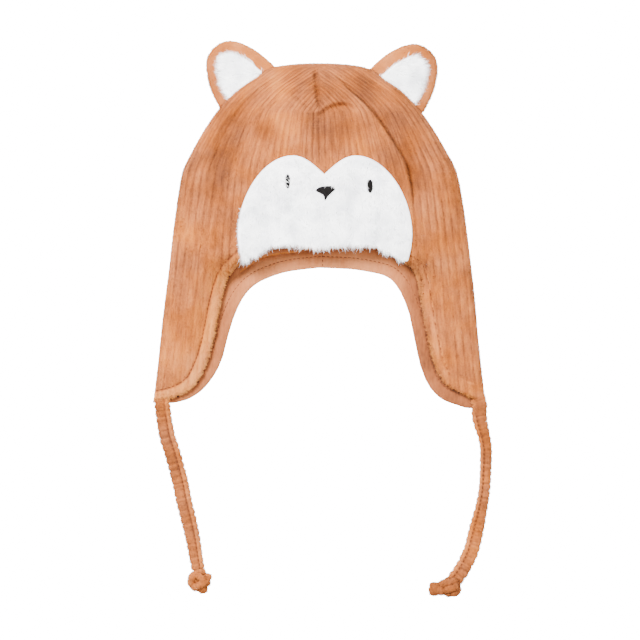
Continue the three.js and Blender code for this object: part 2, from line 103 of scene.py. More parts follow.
# Valleys of the crown: drop, reach to the right and left of the walker, and the line from the top down
CREASES = [
    (8.5, 2.2, 26, [
        (0.07, 0.02), (0.18, 0.076), (0.29, 0.123), (0.37, 0.172), (0.44, 0.222),
        (0.487, 0.262), (0.52, 0.298), (0.552, 0.37), (0.565, 0.45),
    ]),
    (7, 10, 17, [
        (-0.16, 0.018), (-0.343, 0.091), (-0.476, 0.164), (-0.56, 0.223), (-0.59, 0.296), (-0.596, 0.37),
        (-0.608, 0.46),
    ]),
    (2.6, 3, 7, [(-0.17, 0.07), (-0.13, 0.106), (-0.06, 0.133), (0.02, 0.15)]),
    (5, 13, 3.6, [(-0.09, 0.152), (0.0, 0.156), (0.045, 0.141), (0.13, 0.128), (0.25, 0.142)]),
    (3.4, 2.4, 4, [(-0.024, 0.006), (-0.018, 0.062), (-0.006, 0.106), (0.012, 0.15)]),
    (1.6, 9, 9, [(0.02, 0.155), (0.03, 0.19), (0.05, 0.24), (0.06, 0.29)]),
]
CREASE_FADE = 0.22
# Partly brushed nap and partly painted light and shade: paler on the lit crown, darker beside its creases
# and dents
# Where the pile shows paler or darker: across and down from the crown's top, reach, and how much
BRUSHED_AND_SHADED = [
    (66, -62, 20, -0.1), (76, -100, 18, -0.3), (52, -40, 14, -0.2), (12, -26, 9, -0.4), (-40, -34, 22, 0.2),
    (-25, -52, 22, 0.15), (-88, -95, 16, -0.4), (-66, -128, 14, -0.6), (-98, -150, 14, -0.5),
    (-84, -170, 16, 0.3), (-100, -205, 18, -0.15), (-80, -205, 16, 0.25), (95, -140, 14, 0.1),
    (112, -170, 12, -0.5), (18, -52, 12, -0.9), (40, -80, 16, -0.15), (-110, -120, 10, -0.3),
    (-3, -58, 13, -1.2), (-70, -66, 12, -0.3), (-50, -60, 9, 0.5), (10, -33, 6, 0.8), (28, -34, 7, 0.5),
    (-43, -52, 9, -0.6), (-29, -44, 8, 0.4), (36, -22, 9, -0.5), (48, -58, 9, 0.4), (-30, -14, 8, 0.4),
    (86, -90, 9, 0.3),
]
# How much paler the left and right flap are, and how much painted shade darkens a crease for each millimetre
FLAPS_PALER = (0.75, 0.0)
CREASE_PAINTED_SHADE = 0.08


def smooth(value, low, high):
    t = np.clip((value - low) / (high - low), 0, 1)
    return t * t * (3 - 2 * t)


def unit(ways):
    return ways / np.linalg.norm(ways, axis=-1, keepdims=True)


def running(line):
    """The way that a line runs at each of its points."""
    return unit(np.gradient(line, axis=0))


def turned_left(ways):
    return np.column_stack([-ways[:, 1], ways[:, 0]])


def along_line(line):
    """How far along a line each of its points lies."""
    return np.concatenate([[0], np.cumsum(np.linalg.norm(np.diff(line, axis=0), axis=1))])


def points_at(line, at):
    """The points of a line that lie so far along it."""
    along = along_line(line)
    return np.column_stack([np.interp(at, along, line[:, i]) for i in range(line.shape[1])])


def curve(rows):
    """A smooth curve through (place, value) rows that never swings past them."""
    at, value = np.array(rows, float).T
    slope = np.diff(value) / np.diff(at)
    before = np.concatenate([slope[:1], slope])
    after = np.concatenate([slope, slope[-1:]])
    total = np.where(before * after > 0, before + after, 1)
    tangent = np.where(before * after > 0, 2 * before * after / total, 0)

    def read(wanted):
        x = np.clip(wanted, at[0], at[-1])
        i = np.clip(np.searchsorted(at, x, side="right") - 1, 0, len(at) - 2)
        span = at[i + 1] - at[i]
        t = (x - at[i]) / span
        rest = 1 - t
        ends = value[i] * rest**2 * (1 + 2 * t) + value[i + 1] * t**2 * (3 - 2 * t)
        return ends + span * t * rest * (tangent[i] * rest - tangent[i + 1] * t)

    return read


def smooth_line(points, steps):
    """A line through chosen points, rounded between them."""
    p = np.array(points, float)
    p = np.vstack([2 * p[0] - p[1], p, 2 * p[-1] - p[-2]])
    t = np.linspace(0, 1, steps, endpoint=False)[:, None]
    bends = [
        0.5 * (2 * b + (c - a) * t + (2 * a - 5 * b + 4 * c - d) * t**2 + (3 * b - a - 3 * c + d) * t**3)
        for a, b, c, d in zip(p, p[1:], p[2:], p[3:])
    ]
    return np.vstack([*bends, p[-2:-1]])


def nearest(line, x, y):
    """How far points lie from a line, the way from it, its right-hand side there, and how far along it."""
    start = line[:-1]
    way = line[1:] - start
    long = (way**2).sum(1)
    best = np.full(len(x), np.inf)
    away = np.zeros((len(x), 2))
    right = np.zeros((len(x), 2))
    along = np.zeros(len(x))
    points = np.column_stack([x, y])
    for i in range(len(start)):
        offset = points - start[i]
        share = np.clip(offset @ way[i] / long[i], 0, 1)
        rest = offset - share[:, None] * way[i]
        distance = np.hypot(rest[:, 0], rest[:, 1])
        closer = distance < best
        best[closer] = distance[closer]
        away[closer] = rest[closer]
        right[closer] = np.array([way[i, 1], -way[i, 0]]) / math.sqrt(long[i])
        along[closer] = (i + share[closer]) / len(start)
    return best, away, right, along


def ripple(x, y, size, seed):
    """Gentle unevenness from -1 to 1, with waves of about the given size in millimetres."""
    return np.array([noise.noise(Vector((a / size, b / size, seed))) for a, b in zip(x, y)])


def edge_curve(left, right):
    """The edge's depth for shares of the half width, below nought on the left."""
    left_at = curve(left)
    right_at = curve(right)
    return lambda share: np.where(share < 0, left_at(-share), right_at(share))


outline_at = curve([(math.sqrt(depth), half) for depth, half in OUTLINE])
front_edge = edge_curve(FRONT_EDGE_LEFT, FRONT_EDGE_RIGHT)
back_edge = edge_curve(BACK_EDGE_LEFT, BACK_EDGE_RIGHT)
right_side = curve(RIGHT_SIDE)
fold_radius = curve([(depth, fold) for depth, fold, _ in FULLNESS])
puff_share = curve([(depth, puff) for depth, _, puff in FULLNESS])
outline_depths = 1.1 * (np.arange(161) / 160) ** 2


def half_width(depth):
    return TIP_SPREAD / 2 * outline_at(np.sqrt(depth))


def rim_line(edge):
    across = np.linspace(-1, 1, 241)
    depth = edge(across)
    return np.column_stack([across * half_width(depth), -depth * HAT_HEIGHT])


OUTLINE_LINE = np.column_stack([half_width(outline_depths), -outline_depths * HAT_HEIGHT])
CREASE_LINES = [
    smooth_line([(across * TIP_SPREAD / 2, -depth * HAT_HEIGHT) for across, depth in line], 6)
    for _, _, _, line in CREASES
]
FRONT_RIM = rim_line(front_edge)
BACK_RIM = rim_line(back_edge)


def creased(x, y):
    """How far the creases lower the front."""
    total = np.zeros(len(x))
    for (drop, to_right, to_left, _), line in zip(CREASES, CREASE_LINES):
        distance, away, right, along = nearest(line, x, y)
        reach = np.where((away * right).sum(1) > 0, to_right, to_left)
        fade = smooth(np.minimum(along, 1 - along), 0, CREASE_FADE)
        total += drop * fade * (1 - smooth(distance, 0, reach))
    return total


def column_place(column, depth):
    """Where a rib's column lies at a depth: the dart takes the middle ribs in."""
    half = half_width(depth)
    pitch = np.maximum(half / RIBS, DART_PITCH)
    free = half - (RIBS - np.abs(column)) * pitch
    return np.sign(column) * np.where(free < 0.2, 0, free)


def rib_at(x, depth):
    half = half_width(depth)
    return RIBS - (half - np.abs(x)) / np.maximum(half / RIBS, DART_PITCH)


def lie(layer, x, y, under=0.0, relief=0.0, at_fold=None):
    """Where cloth lies on the hat: over (x, y), so far under the velour's face, and with ribs so high."""
    depth = -y / HAT_HEIGHT
    fold = fold_radius(depth)
    distance, away, right, _ = nearest(OUTLINE_LINE, np.abs(x), y)
    at_fold = np.zeros(len(x), bool) if at_fold is None else at_fold
    distance = np.where(at_fold, 0, distance)
    turn = np.arccos(np.clip(1 - distance / fold, 0, 1))
    inwards = np.where((distance > 0.2)[:, None], away / np.maximum(distance, 0.2)[:, None], right)
    shift = under * np.cos(turn)
    z = fold + layer * (fold - under) * np.sin(turn)
    if layer == FRONT:
        full = 1 - (1 - np.minimum(1, distance / PUFF_REACH)) ** 2
        waves = sum(high * ripple(x, y, size, seed) for high, size, seed in WAVES)
        lift = PUFF * puff_share(depth) * full
        inwards_of_edge = smooth(nearest(FRONT_RIM, x, y)[0], 0, EDGE_REACH)
        down = EDGE_DOWN * smooth(depth, *FLAPS_FROM) * (1 - inwards_of_edge)
        gap = lift + 2 * (fold - BOTH_CLOTHS) * np.sin(turn)
        z += lift - down * gap + (waves * (1 - down) - creased(x, y)) * np.sin(turn)
    if relief:
        crest = 1 - np.abs(2 * (rib_at(x, depth) % 1) - 1) ** 3
        uneven = 0.7 + 0.7 * ripple(x, y, 16, 14.0)
        z -= layer * relief * uneven * (1 - crest) * np.sin(turn)
    side = np.sign(x)
    return np.column_stack([x + side * inwards[:, 0] * shift, y + inwards[:, 1] * shift, z])


def settled(points, way=1):
    """The right side lies a little further out. A way of -1 takes it back."""
    out = right_side(-points[:, 1] / HAT_HEIGHT) * np.clip(points[:, 0] / TIP_SPREAD * 2, 0, 1)
    return points + way * out[:, None] * [1, 0, 0]


def place_mesh(mesh, points):
    """Moves a mesh's points to their place in the frame."""
    points = (settled(points) + [0, CROWN_TOP, 0]) * MM
    mesh.vertices.foreach_set("co", points.astype(np.float32).ravel())
    mesh.update()


def numbers(items, attribute, width=1, kind=np.float32):
    """One attribute of all items of a mesh, in rows if it holds several numbers."""
    values = np.zeros(len(items) * width, kind)
    items.foreach_get(attribute, values)
    return values.reshape(-1, width) if width > 1 else values


def mark(mesh, name, values):
    """Gives each point a value that the material reads."""
    mesh.attributes.new(name, "FLOAT", "POINT").data.foreach_set("value", values.astype(np.float32))


def placed_points(mesh):
    """The points of a placed mesh, as they were before."""
    return settled(numbers(mesh.vertices, "co", 3) / MM - [0, CROWN_TOP, 0], -1)


def select(*pieces):
    """Selects these pieces alone, and makes the first the active one."""
    bpy.ops.object.select_all(action="DESELECT")
    for piece in pieces:
        piece.select_set(True)
        bpy.context.view_layer.objects.active = pieces[0]


def joined(name, pieces):
    """Makes one piece of several."""
    select(*pieces)
    bpy.ops.object.join()
    pieces[0].name = name
    return pieces[0]


def merged(piece):
    """Welds a piece's doubled points, and drops what that leaves without a size."""
    select(piece)
    bpy.ops.object.mode_set(mode="EDIT")
    bpy.ops.mesh.select_all(action="SELECT")
    bpy.ops.mesh.remove_doubles(threshold=WELD * MM)
    bpy.ops.mesh.dissolve_degenerate(threshold=WELD * MM / 2)
    bpy.ops.object.mode_set(mode="OBJECT")


def map_cloth(mesh, rib, length):
    """Gives each point its place on the cloth: ribs across, and centimetres along them."""
    while mesh.uv_layers:
        mesh.uv_layers.remove(mesh.uv_layers[0])
    place = np.column_stack([rib, length / 10])[numbers(mesh.loops, "vertex_index", kind=int)]
    mesh.uv_layers.new(name="Cloth").data.foreach_set("uv", place.astype(np.float32).ravel())


def layer_of_cloth(layer, columns, crown_rows, body_rows, under, relief, trim, hem):
    """One layer of the hat: a grid with a column of points for each place across the ribs."""
    select()
    rows = crown_rows + body_rows
    bpy.ops.mesh.primitive_grid_add(x_subdivisions=len(columns) - 1, y_subdivisions=rows, size=2)
    piece = bpy.context.object
    mesh = piece.data
    index = np.arange(len(mesh.vertices))
    column = columns[index % len(columns)]
    row = rows - index // len(columns)
    edge = front_edge if layer == FRONT else back_edge
    last = edge(column / RIBS) - trim / HAT_HEIGHT
    share = 1 - (1 - np.clip((row - crown_rows) / body_rows, 0, 1)) ** 1.35
    body_depth = CROWN_DEPTH + (last - CROWN_DEPTH) * share
    depth = np.where(row < crown_rows, CROWN_DEPTH * (row / crown_rows) ** 2, body_depth)
    x = column_place(column, depth)
    y = -depth * HAT_HEIGHT
    at_fold = (row == 0) | (np.abs(column) == RIBS)
    points = lie(layer, x, y, under, relief, at_fold)
    if hem:
        from_edge = nearest(FRONT_RIM if layer == FRONT else BACK_RIM, x, y)[0]
        points[:, 2] += layer * hem(from_edge, x, y)
    place_mesh(mesh, points)
    map_cloth(mesh, np.where(x == 0, 0, np.sign(column)) * rib_at(x, depth), y)
    if layer == BACK:
        mesh.flip_normals()
    return piece


def pouch(name, columns, rows, under, relief, trim, hem, thick):
    """A front and a back layer sewn into one cloth so thick, and how many faces its outside has."""
    front = layer_of_cloth(FRONT, columns[0], *rows, under, relief[0], trim, hem[0])
    back = layer_of_cloth(BACK, columns[1], *rows, under, relief[1], trim, hem[1])
    piece = joined(name, [front, back])
    merged(piece)
    outside = len(piece.data.polygons)
    solidify = piece.modifiers.new("Solidify", "SOLIDIFY")
    solidify.thickness = thick * MM
    solidify.offset = -1
    bpy.ops.object.modifier_apply(modifier=solidify.name)
    piece.data.shade_smooth()
    return piece, outside


def across_ribs(steps):
    """Columns at the given places within each rib, from fold to fold."""
    half = np.unique(np.concatenate([(np.arange(RIBS)[:, None] + steps).ravel(), [RIBS]]))
    return np.concatenate([-half[:0:-1], half])


# The hem's stitched line: from the edge on both sides, and across the end of the right flap
HEM = 7.6
RIGHT_HEM = 6.6
HEM_END = ((87, -229), (126, -248))
# Beyond this place across, all is on the right flap
RIGHT_FLAP = 60


def below_hem_end(x, y):
    (x0, y0), (x1, y1) = HEM_END
    return ((y1 - y0) * (x - x0) - (x1 - x0) * (y - y0)) / math.hypot(x1 - x0, y1 - y0)


def in_hem(from_edge, x, y):
    """How far points lie inside the hem, in millimetres, below nought outside it."""
    side = np.where(x > 0, RIGHT_HEM, HEM) - from_edge
    return np.where(x > RIGHT_FLAP, np.maximum(side, below_hem_end(x, y)), side)


def at_hem_end(from_edge, x):
    """Across the end of the right flap the hem's top is a raised fold, with no stitches."""
    return (x > RIGHT_FLAP) & (from_edge > RIGHT_HEM)


def velour_hem(from_edge, x, y):
    """The turned edge: a soft roll, with a line of stitches pressed in at its top."""
    inside = in_hem(from_edge, x, y)
    bulge = 0.3 * smooth(inside, 0, 3) * smooth(from_edge, 0, 3)
    pressed = np.where(at_hem_end(from_edge, x), -0.45, 0.6) * np.exp(-((inside / 0.8) ** 2))
    rolled = 1.3 * (1 - np.sqrt(1 - (1 - np.clip(from_edge / 1.8, 0, 1)) ** 2))
    return bulge - pressed - rolled


def linear(colour, alpha=1.0):
    """An sRGB hex colour as the linear values that shaders take."""
    parts = [int(colour[i : i + 2], 16) / 255 for i in (1, 3, 5)]
    return [*(c / 12.92 if c <= 0.04045 else ((c + 0.055) / 1.055) ** 2.4 for c in parts), alpha]


def add(tree, kind, inputs=None, **settings):
    """Adds a shader node with its settings, and with values or links on its inputs."""
    made = tree.nodes.new("ShaderNode" + kind)
    for key, value in settings.items():
        setattr(made, key, value)
    for socket, value in (inputs or {}).items():
        if isinstance(value, bpy.types.NodeSocket):
            tree.links.new(value, made.inputs[socket])
        else:
            made.inputs[socket].default_value = value
    return made


def new_material(name):
    """An empty material, its node tree, and the places on the object that its patterns follow."""
    material = bpy.data.materials.new(name)
    material.use_nodes = True
    tree = material.node_tree
    tree.nodes.clear()
    return material, tree, add(tree, "TexCoord").outputs["Object"]


def surface(material, inputs):
    """Ends a material in a principled shader with these inputs."""
    shader = add(material.node_tree, "BsdfPrincipled", inputs)
    add(material.node_tree, "OutputMaterial", {"Surface": shader.outputs[0]})
    return material


def clouds(tree, place, scale, detail, roughness=0.5):
    inputs = {"Vector": place, "Scale": scale, "Detail": detail, "Roughness": roughness}
    return add(tree, "TexNoise", inputs).outputs[0]


def stretched(tree, place, x, y):
    return add(tree, "Mapping", {"Vector": place, "Scale": (x, y, 1)}).outputs[0]


def ranged(tree, value, low, high, to_low, to_high):
    return add(tree, "MapRange", {"Value": value, 1: low, 2: high, 3: to_low, 4: to_high}).outputs[0]


def summed(tree, start, *parts):
    """Adds up a start and (value, weight) parts."""
    for value, weight in parts:
        start = add(tree, "Math", {0: value, 1: weight, 2: start}, operation="MULTIPLY_ADD").outputs[0]
    return start


def marked(tree, name):
    return add(tree, "Attribute", attribute_name=name).outputs["Fac"]


def bumpy(tree, height, strength, distance):
    return add(tree, "Bump", {"Strength": strength, "Distance": distance, "Height": height}).outputs[0]


def coloured(tree, tone, stops):
    """Turns a tone into colours, by (position, hex colour) stops."""
    ramp = add(tree, "ValToRGB", {"Fac": tone})
    elements = ramp.color_ramp.elements
    while len(elements) < len(stops):
        elements.new(0.5)
    for element, (position, colour) in zip(elements, stops):
        element.position = position
        element.color = linear(colour)
    return ramp.outputs[0]


# How strongly strokes, streaks along the ribs, and the pile's grain show in the velour
STROKES = 0.8
STREAKS = 0.8
GRAIN = 0.25
# From the shadow in a groove, over the brushed strokes, to the tips of the pile in full light
VELOUR_STOPS = [(0.0, "#57301E"), (0.3, "#824620"), (0.5, "#A25A29"), (0.72, "#BE7034"), (1.0, "#D58B4A")]


def cotton_velour(name, middle, groove_shade):
    """Cotton velour in tan, knitted with wide ribs and cut to a short dense pile. The pile lies this
    way and that, so it shows paler and darker strokes. Painted shade darkens it where it parts between the
    ribs, and painted light pales the tips of its fibres."""
    material, tree, place = new_material(name)
    cloth = add(tree, "UVMap", uv_map="Cloth").outputs["UV"]
    strokes = clouds(tree, place, 26, 3, 0.6)
    streaks = clouds(tree, stretched(tree, cloth, 1.2, 0.28), 1.5, 4, 0.65)
    grain = clouds(tree, place, 850, 2)
    broken = clouds(tree, stretched(tree, cloth, 1, 3), 1, 3)
    patches = clouds(tree, place, 42, 2)
    across = add(tree, "SeparateXYZ", {"Vector": cloth}).outputs[0]
    within = add(tree, "Math", {0: across, 1: 0.5}, operation="PINGPONG").outputs[0]
    groove = ranged(tree, within, 0, 0.2, 1, 0)
    for kept in (ranged(tree, broken, 0.42, 0.64, 0.4, 1), ranged(tree, patches, 0.4, 0.62, 0.2, 1)):
        groove = add(tree, "Math", {0: groove, 1: kept}, operation="MULTIPLY").outputs[0]
    # The points' marks add paler and darker pile and painted light and shade; the groove adds painted shade,
    # and the fibres' tips painted light
    tone = summed(
        tree, middle - (STROKES + STREAKS + GRAIN) / 2,
        (strokes, STROKES), (streaks, STREAKS), (grain, GRAIN),
        (marked(tree, "brushed_and_shaded"), 0.2), (groove, -groove_shade), (marked(tree, "tip"), 0.16),
    )
    richness = ranged(tree, patches, 0.35, 0.65, 1.02, 0.97)
    rich = add(tree, "HueSaturation", {"Saturation": richness, "Color": coloured(tree, tone, VELOUR_STOPS)})
    return surface(material, {
        "Base Color": rich.outputs[0], "Roughness": 0.95, "Specular IOR Level": 0.15, "Sheen Weight": 0.1,
        "Sheen Roughness": 0.5, "Sheen Tint": linear("#FFBE8C"), "Normal": bumpy(tree, grain, 0.5, 0.0005),
    })


def from_front(at):
    """How far points lie from the front's edge."""
    return nearest(FRONT_RIM, at[:, 0], at[:, 1])[0]


def brush_and_shade(piece):
    """Marks where the pile shows paler or darker. The turned hem is paler, partly as painted light on its
    roll;
    painted shade darkens the creases and the stitched line, and a painted highlight pales the raised fold
    across the right flap's end.
    """
    mesh = piece.data
    at = placed_points(mesh)
    value = np.zeros(len(at))
    for x, y, reach, strength in BRUSHED_AND_SHADED:
        value += strength * np.exp(-((at[:, 0] - x) ** 2 + (at[:, 1] - y) ** 2) / reach**2)
    flaps = np.where(at[:, 0] < 0, *FLAPS_PALER) * smooth(-at[:, 1], 110, 185)
    # The flaps are paler, and painted shade darkens the creases, the more the deeper they drop
    value += flaps - CREASE_PAINTED_SHADE * creased(at[:, 0], at[:, 1])
    from_edge = from_front(at)
    inside = in_hem(from_edge, at[:, 0], at[:, 1])
    # The turned hem is paler, partly as painted light on its roll, more on the left; painted shade darkens
    # its stitched line, and a painted highlight pales the raised fold across the right flap's end
    band = np.where(at[:, 0] < 0, 1.1, 0.65)
    line = np.where(at_hem_end(from_edge, at[:, 0]), 1, np.where(at[:, 0] < 0, -1.2, -0.6))
    value += band * smooth(inside, 0, 2.5) + line * np.exp(-((inside / 0.7) ** 2))
    mark(mesh, "brushed_and_shaded", value)


def blades(name, lines, width, facing, cloth, brushed_and_shaded, seed):
    """Fibres as thin blades. Each line of points runs from root to tip. Their flat sides face one way."""
    count, rows, _ = lines.shape
    draw = np.random.default_rng(seed)
    side = np.cross(lines[:, -1] - lines[:, 0], facing + 0.5 * draw.normal(size=(count, 3)))
    side *= width / 2 / np.linalg.norm(side, axis=1, keepdims=True)
    taper = np.linspace(1, 0.45, rows)[:-1]
    each = 2 * rows - 1
    points = np.zeros((count, each, 3))
    for i in range(rows - 1):
        points[:, 2 * i] = lines[:, i] - side * taper[i]
        points[:, 2 * i + 1] = lines[:, i] + side * taper[i]
    points[:, -1] = lines[:, -1]
    points[:, :, 2] = np.maximum(points[:, :, 2], 0.06)
    shapes = [[2 * i, 2 * i + 1, 2 * i + 3, 2 * i + 2] for i in range(rows - 2)]
    shapes.append([each - 3, each - 2, each - 1])
    corners = np.concatenate(shapes)
    sizes = np.array([len(shape) for shape in shapes])
    mesh = bpy.data.meshes.new(name)
    mesh.vertices.add(count * each)
    mesh.loops.add(count * len(corners))
    mesh.polygons.add(count * len(shapes))
    first = np.arange(count)[:, None]
    mesh.loops.foreach_set("vertex_index", (first * each + corners).ravel().astype(np.int32))
    starts = first * len(corners) + (np.cumsum(sizes) - sizes)
    mesh.polygons.foreach_set("loop_start", starts.ravel().astype(np.int32))
    place_mesh(mesh, points.reshape(-1, 3))
    blade = np.repeat(np.arange(count), each)
    if cloth is not None:
        map_cloth(mesh, cloth[blade, 0], cloth[blade, 1])
    if brushed_and_shaded is not None:
        mark(mesh, "brushed_and_shaded", brushed_and_shaded[blade])
    mark(mesh, "tip", np.tile(np.repeat(np.linspace(0, 1, rows), 2)[:-1], count))
    mesh.update()
    mesh.shade_smooth()
    mesh.normals_split_custom_set_from_vertices(facing[blade])
    piece = bpy.data.objects.new(name, mesh)
    bpy.context.scene.collection.objects.link(piece)
    return piece


def pile(name, piece, count, length, width, lean, seed, faces=None, where=None, rise=0.7, stray=0.35):
    """Roots fibres in a piece. lean says which way they lie, and where how densely they stand."""
    mesh = piece.data
    mesh.calc_loop_triangles()
    triangles = mesh.loop_triangles
    corners = numbers(triangles, "vertices", 3, int)
    shape = placed_points(mesh)[corners]
    normal = numbers(mesh.vertex_normals, "vector", 3)[corners]
    weight = np.linalg.norm(np.cross(shape[:, 1] - shape[:, 0], shape[:, 2] - shape[:, 0]), axis=1)
    if faces:
        weight[numbers(triangles, "polygon_index", kind=int) >= faces] = 0
    if where:
        weight = weight * where(shape.mean(1), normal.mean(1))
    draw = np.random.default_rng(seed)
    chosen = draw.choice(len(triangles), count, p=weight / weight.sum())
    share = draw.dirichlet((1, 1, 1), count)[:, :, None]
    root = (shape[chosen] * share).sum(1)
    facing = unit((normal[chosen] * share).sum(1))
    cloth = None
    if mesh.uv_layers:
        place = numbers(mesh.uv_layers[0].data, "uv", 2)[numbers(triangles, "loops", 3, int)]
        cloth = (place[chosen] * share).sum(1) * [1, 10]
    brushed_and_shaded = None
    if "brushed_and_shaded" in mesh.attributes:
        value = numbers(mesh.attributes["brushed_and_shaded"].data, "value")
        brushed_and_shaded = (value[corners][chosen] * share[:, :, 0]).sum(1)
    leaning = lean(root)
    way = unit(rise * facing + leaning + stray * draw.normal(size=root.shape))
    long = length * (0.65 + 0.7 * draw.random((len(root), 1)))
    rows = 2 if length < 2 else 3
    lines = np.stack([root + way * long * i / (rows - 1) for i in range(rows)], 1)
    if rows == 3:
        lines[:, 2] += 0.25 * long * (leaning + 0.5 * stray * draw.normal(size=root.shape) - 0.5 * facing)
    lines[:, 0] -= 0.1 * facing
    return blades(name, lines, width, facing, cloth, brushed_and_shaded, seed)


def dress(piece, material, slot, *nodes):
    """Gives a piece its material and its place on the hat, and hides the solids that it stands for."""
    piece.data.materials.clear()
    piece.data.materials.append(material)
    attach(piece, "root")
    if nodes:
        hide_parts(*nodes)


velour = cotton_velour("cotton_velour", 0.47, 0.27)
FINE = np.array([0, 0.11, 0.3, 0.5, 0.7, 0.89])
PLAIN = np.array([0, 0.25, 0.5, 0.75])
shell, shell_outside = pouch(
    "hat_velour", (across_ribs(FINE), across_ribs(PLAIN[::2])), (76, 74), 0.0, (0.65, 0), 0.0,
    (velour_hem, None), VELOUR,
)
brush_and_shade(shell)
dress(shell, velour, "velour", "outer_shell")


def swaying(size, seed, lies, sways):
    """Pile that lies one way and sways another, in waves of about the given size in millimetres."""

    def lean(root):
        return np.array(lies) + ripple(root[:, 0], root[:, 1], size, seed)[:, None] * sways

    return lean


def mostly_in_front(at, facing):
    """Most fibres stand on the front and along its folds, where they show, and few in the stitched line."""
    from_edge = from_front(at)
    stitched = np.exp(-((in_hem(from_edge, at[:, 0], at[:, 1]) / 0.9) ** 2))
    stitched = np.where(at_hem_end(from_edge, at[:, 0]), 0, stitched)
    return np.where(facing[:, 2] > -0.35, 1 - 0.9 * stitched, 0.35)


def at_front_edge(at, facing):
    tufts = np.clip(0.3 + 1.6 * ripple(at[:, 0], at[:, 1], 2.6, 46.0), 0.06, 1)
    return (from_front(at) < 2.2) * (facing[:, 2] > -0.2) * tufts


def over_edge(root):
    """Along the front's edge the pile stands out over it, in small tufts."""
    distance, away, _, _ = nearest(FRONT_RIM, root[:, 0], root[:, 1])
    out = -away / np.maximum(distance, 0.3)[:, None]
    tufts = 1 + ripple(root[:, 0], root[:, 1], 2.2, 44.0)
    return np.column_stack([out * tufts[:, None], 0 * distance])


for name, count, length, lean, where, rise in (
    ("hat_velour_pile", 175000, 1.15, swaying(25, 40.0, (0, -0.6, 0), (0.9, 0, 0)), mostly_in_front, 0.7),
    ("hat_edge_pile", 10000, 2.1, over_edge, at_front_edge, 0.25),
):
    velour_pile = pile(name, shell, count, length, 0.3, lean, 5, shell_outside, where, rise)
    dress(velour_pile, velour, "velour")


# Lining
# The inside of the hat, cut from smooth cotton jersey, sewn to the velour along the edge and top-stitched
# there. It has a seam at the middle of the back. It shows in the hat's mouth and inside both folded flaps.
LINING = 1.0
LINING_UNDER = 2.75
LINING_INSET = 1.0
LINING_HEM = 8.7
BACK_SEAM = 2.6
# Painted shade on the jersey: how much darker it is painted on the left and right flap, and how much darker
# a painted shadow makes it along the front's edge, with how far that reaches at the brow and on the flaps
LINING_SHADED = (0.36, 0.54)
HEM_SHADE = 0.6
HEM_SHADE_REACH = (4.5, 1.8)
# A soft crease across the lining: its depth, its width, and the line it follows
LINING_CREASE = (1.8, 2.2, [(-60, -158), (-46, -149), (-30, -144), (-8, -142.5), (12, -143)])


def lining_hem(from_edge, x, y):
    pressed = 0.5 * np.exp(-(((from_edge - LINING_HEM) / 0.8) ** 2))
    drop, wide, line = LINING_CREASE
    from_crease, _, _, along = nearest(smooth_line(line, 6), x, y)
    crease = drop * np.exp(-((from_crease / wide) ** 2)) * smooth(1 - along, 0, 0.4)
    rolled = 1.1 * (1 - np.sqrt(1 - (1 - np.clip((from_edge - LINING_INSET) / 1.8, 0, 1)) ** 2))
    return pressed + crease + rolled - 0.4 * ripple(x, y, 9, 21.0)


def cotton_jersey(name):
    """Cotton jersey, a fine flat knit in a slightly pinker tan, matt, with faint wales drawn twice as
    coarse as they are so that they show. Where its points are marked as shaded it is painted darker, as
    painted shade."""
    material, tree, place = new_material(name)
    wales = clouds(tree, stretched(tree, place, 1, 0.3), 650, 2)
    tone = summed(tree, 0.25, (clouds(tree, place, 45, 4), 0.5), (wales, 0.4), (marked(tree, "shaded"), -1))
    colour = coloured(tree, tone, [(0, "#4A2614"), (0.3, "#8A4C28"), (0.7, "#AE683C"), (1, "#C47E50")])
    return surface(material, {
        "Base Color": colour, "Roughness": 0.9, "Specular IOR Level": 0.2,
        "Normal": bumpy(tree, wales, 0.35, 0.0003),
    })


jersey = cotton_jersey("cotton_jersey")
lining, _ = pouch(
    "lining_jersey", (across_ribs(PLAIN[::2]), across_ribs(PLAIN)), (24, 84), LINING_UNDER, (0, 0),
    LINING_INSET, (None, lining_hem), LINING,
)
at = placed_points(lining.data)
# Painted shade: the jersey on the flaps is painted darker, and a painted shadow darkens it along the front's
# edge
shade = np.where(at[:, 0] < 0, *LINING_SHADED) * smooth(np.abs(at[:, 0]), 45, 75) - 0.12
reach = np.where(np.abs(at[:, 0]) < RIGHT_FLAP, *HEM_SHADE_REACH)
shade += HEM_SHADE * np.exp(-((from_front(at) / reach) ** 2))
mark(lining.data, "shaded", shade)
dress(lining, jersey, "jersey", "lining")


# Stitching
# The lining is top-stitched along its edge with tan sewing thread, and so is the front's hem on both flaps.
# Each stitch is 2.2 mm long and sinks in a little.
STITCH = 2.2
STITCH_GAP = 1.0
THREAD = 0.55


def cotton_thread(name, colour):
    """Spun cotton thread, softly shiny."""
    material, tree, place = new_material(name)
    return surface(material, {
        "Base Color": linear(colour), "Roughness": 0.7, "Specular IOR Level": 0.12,
        "Normal": bumpy(tree, clouds(tree, place, 2500, 1), 0.4, 0.0001),
    })


def offset_line(rim, by):
    """The line that runs so far inside a rim."""
    line = rim + by * turned_left(running(rim))
    return line[nearest(rim, line[:, 0], line[:, 1])[0] > 0.9 * by]


def evenly(line, pitch):
    """Points a pitch apart along a line, and the way it runs there."""
    points = points_at(line, np.arange(pitch / 2, along_line(line)[-1], pitch))
    return points, running(points)


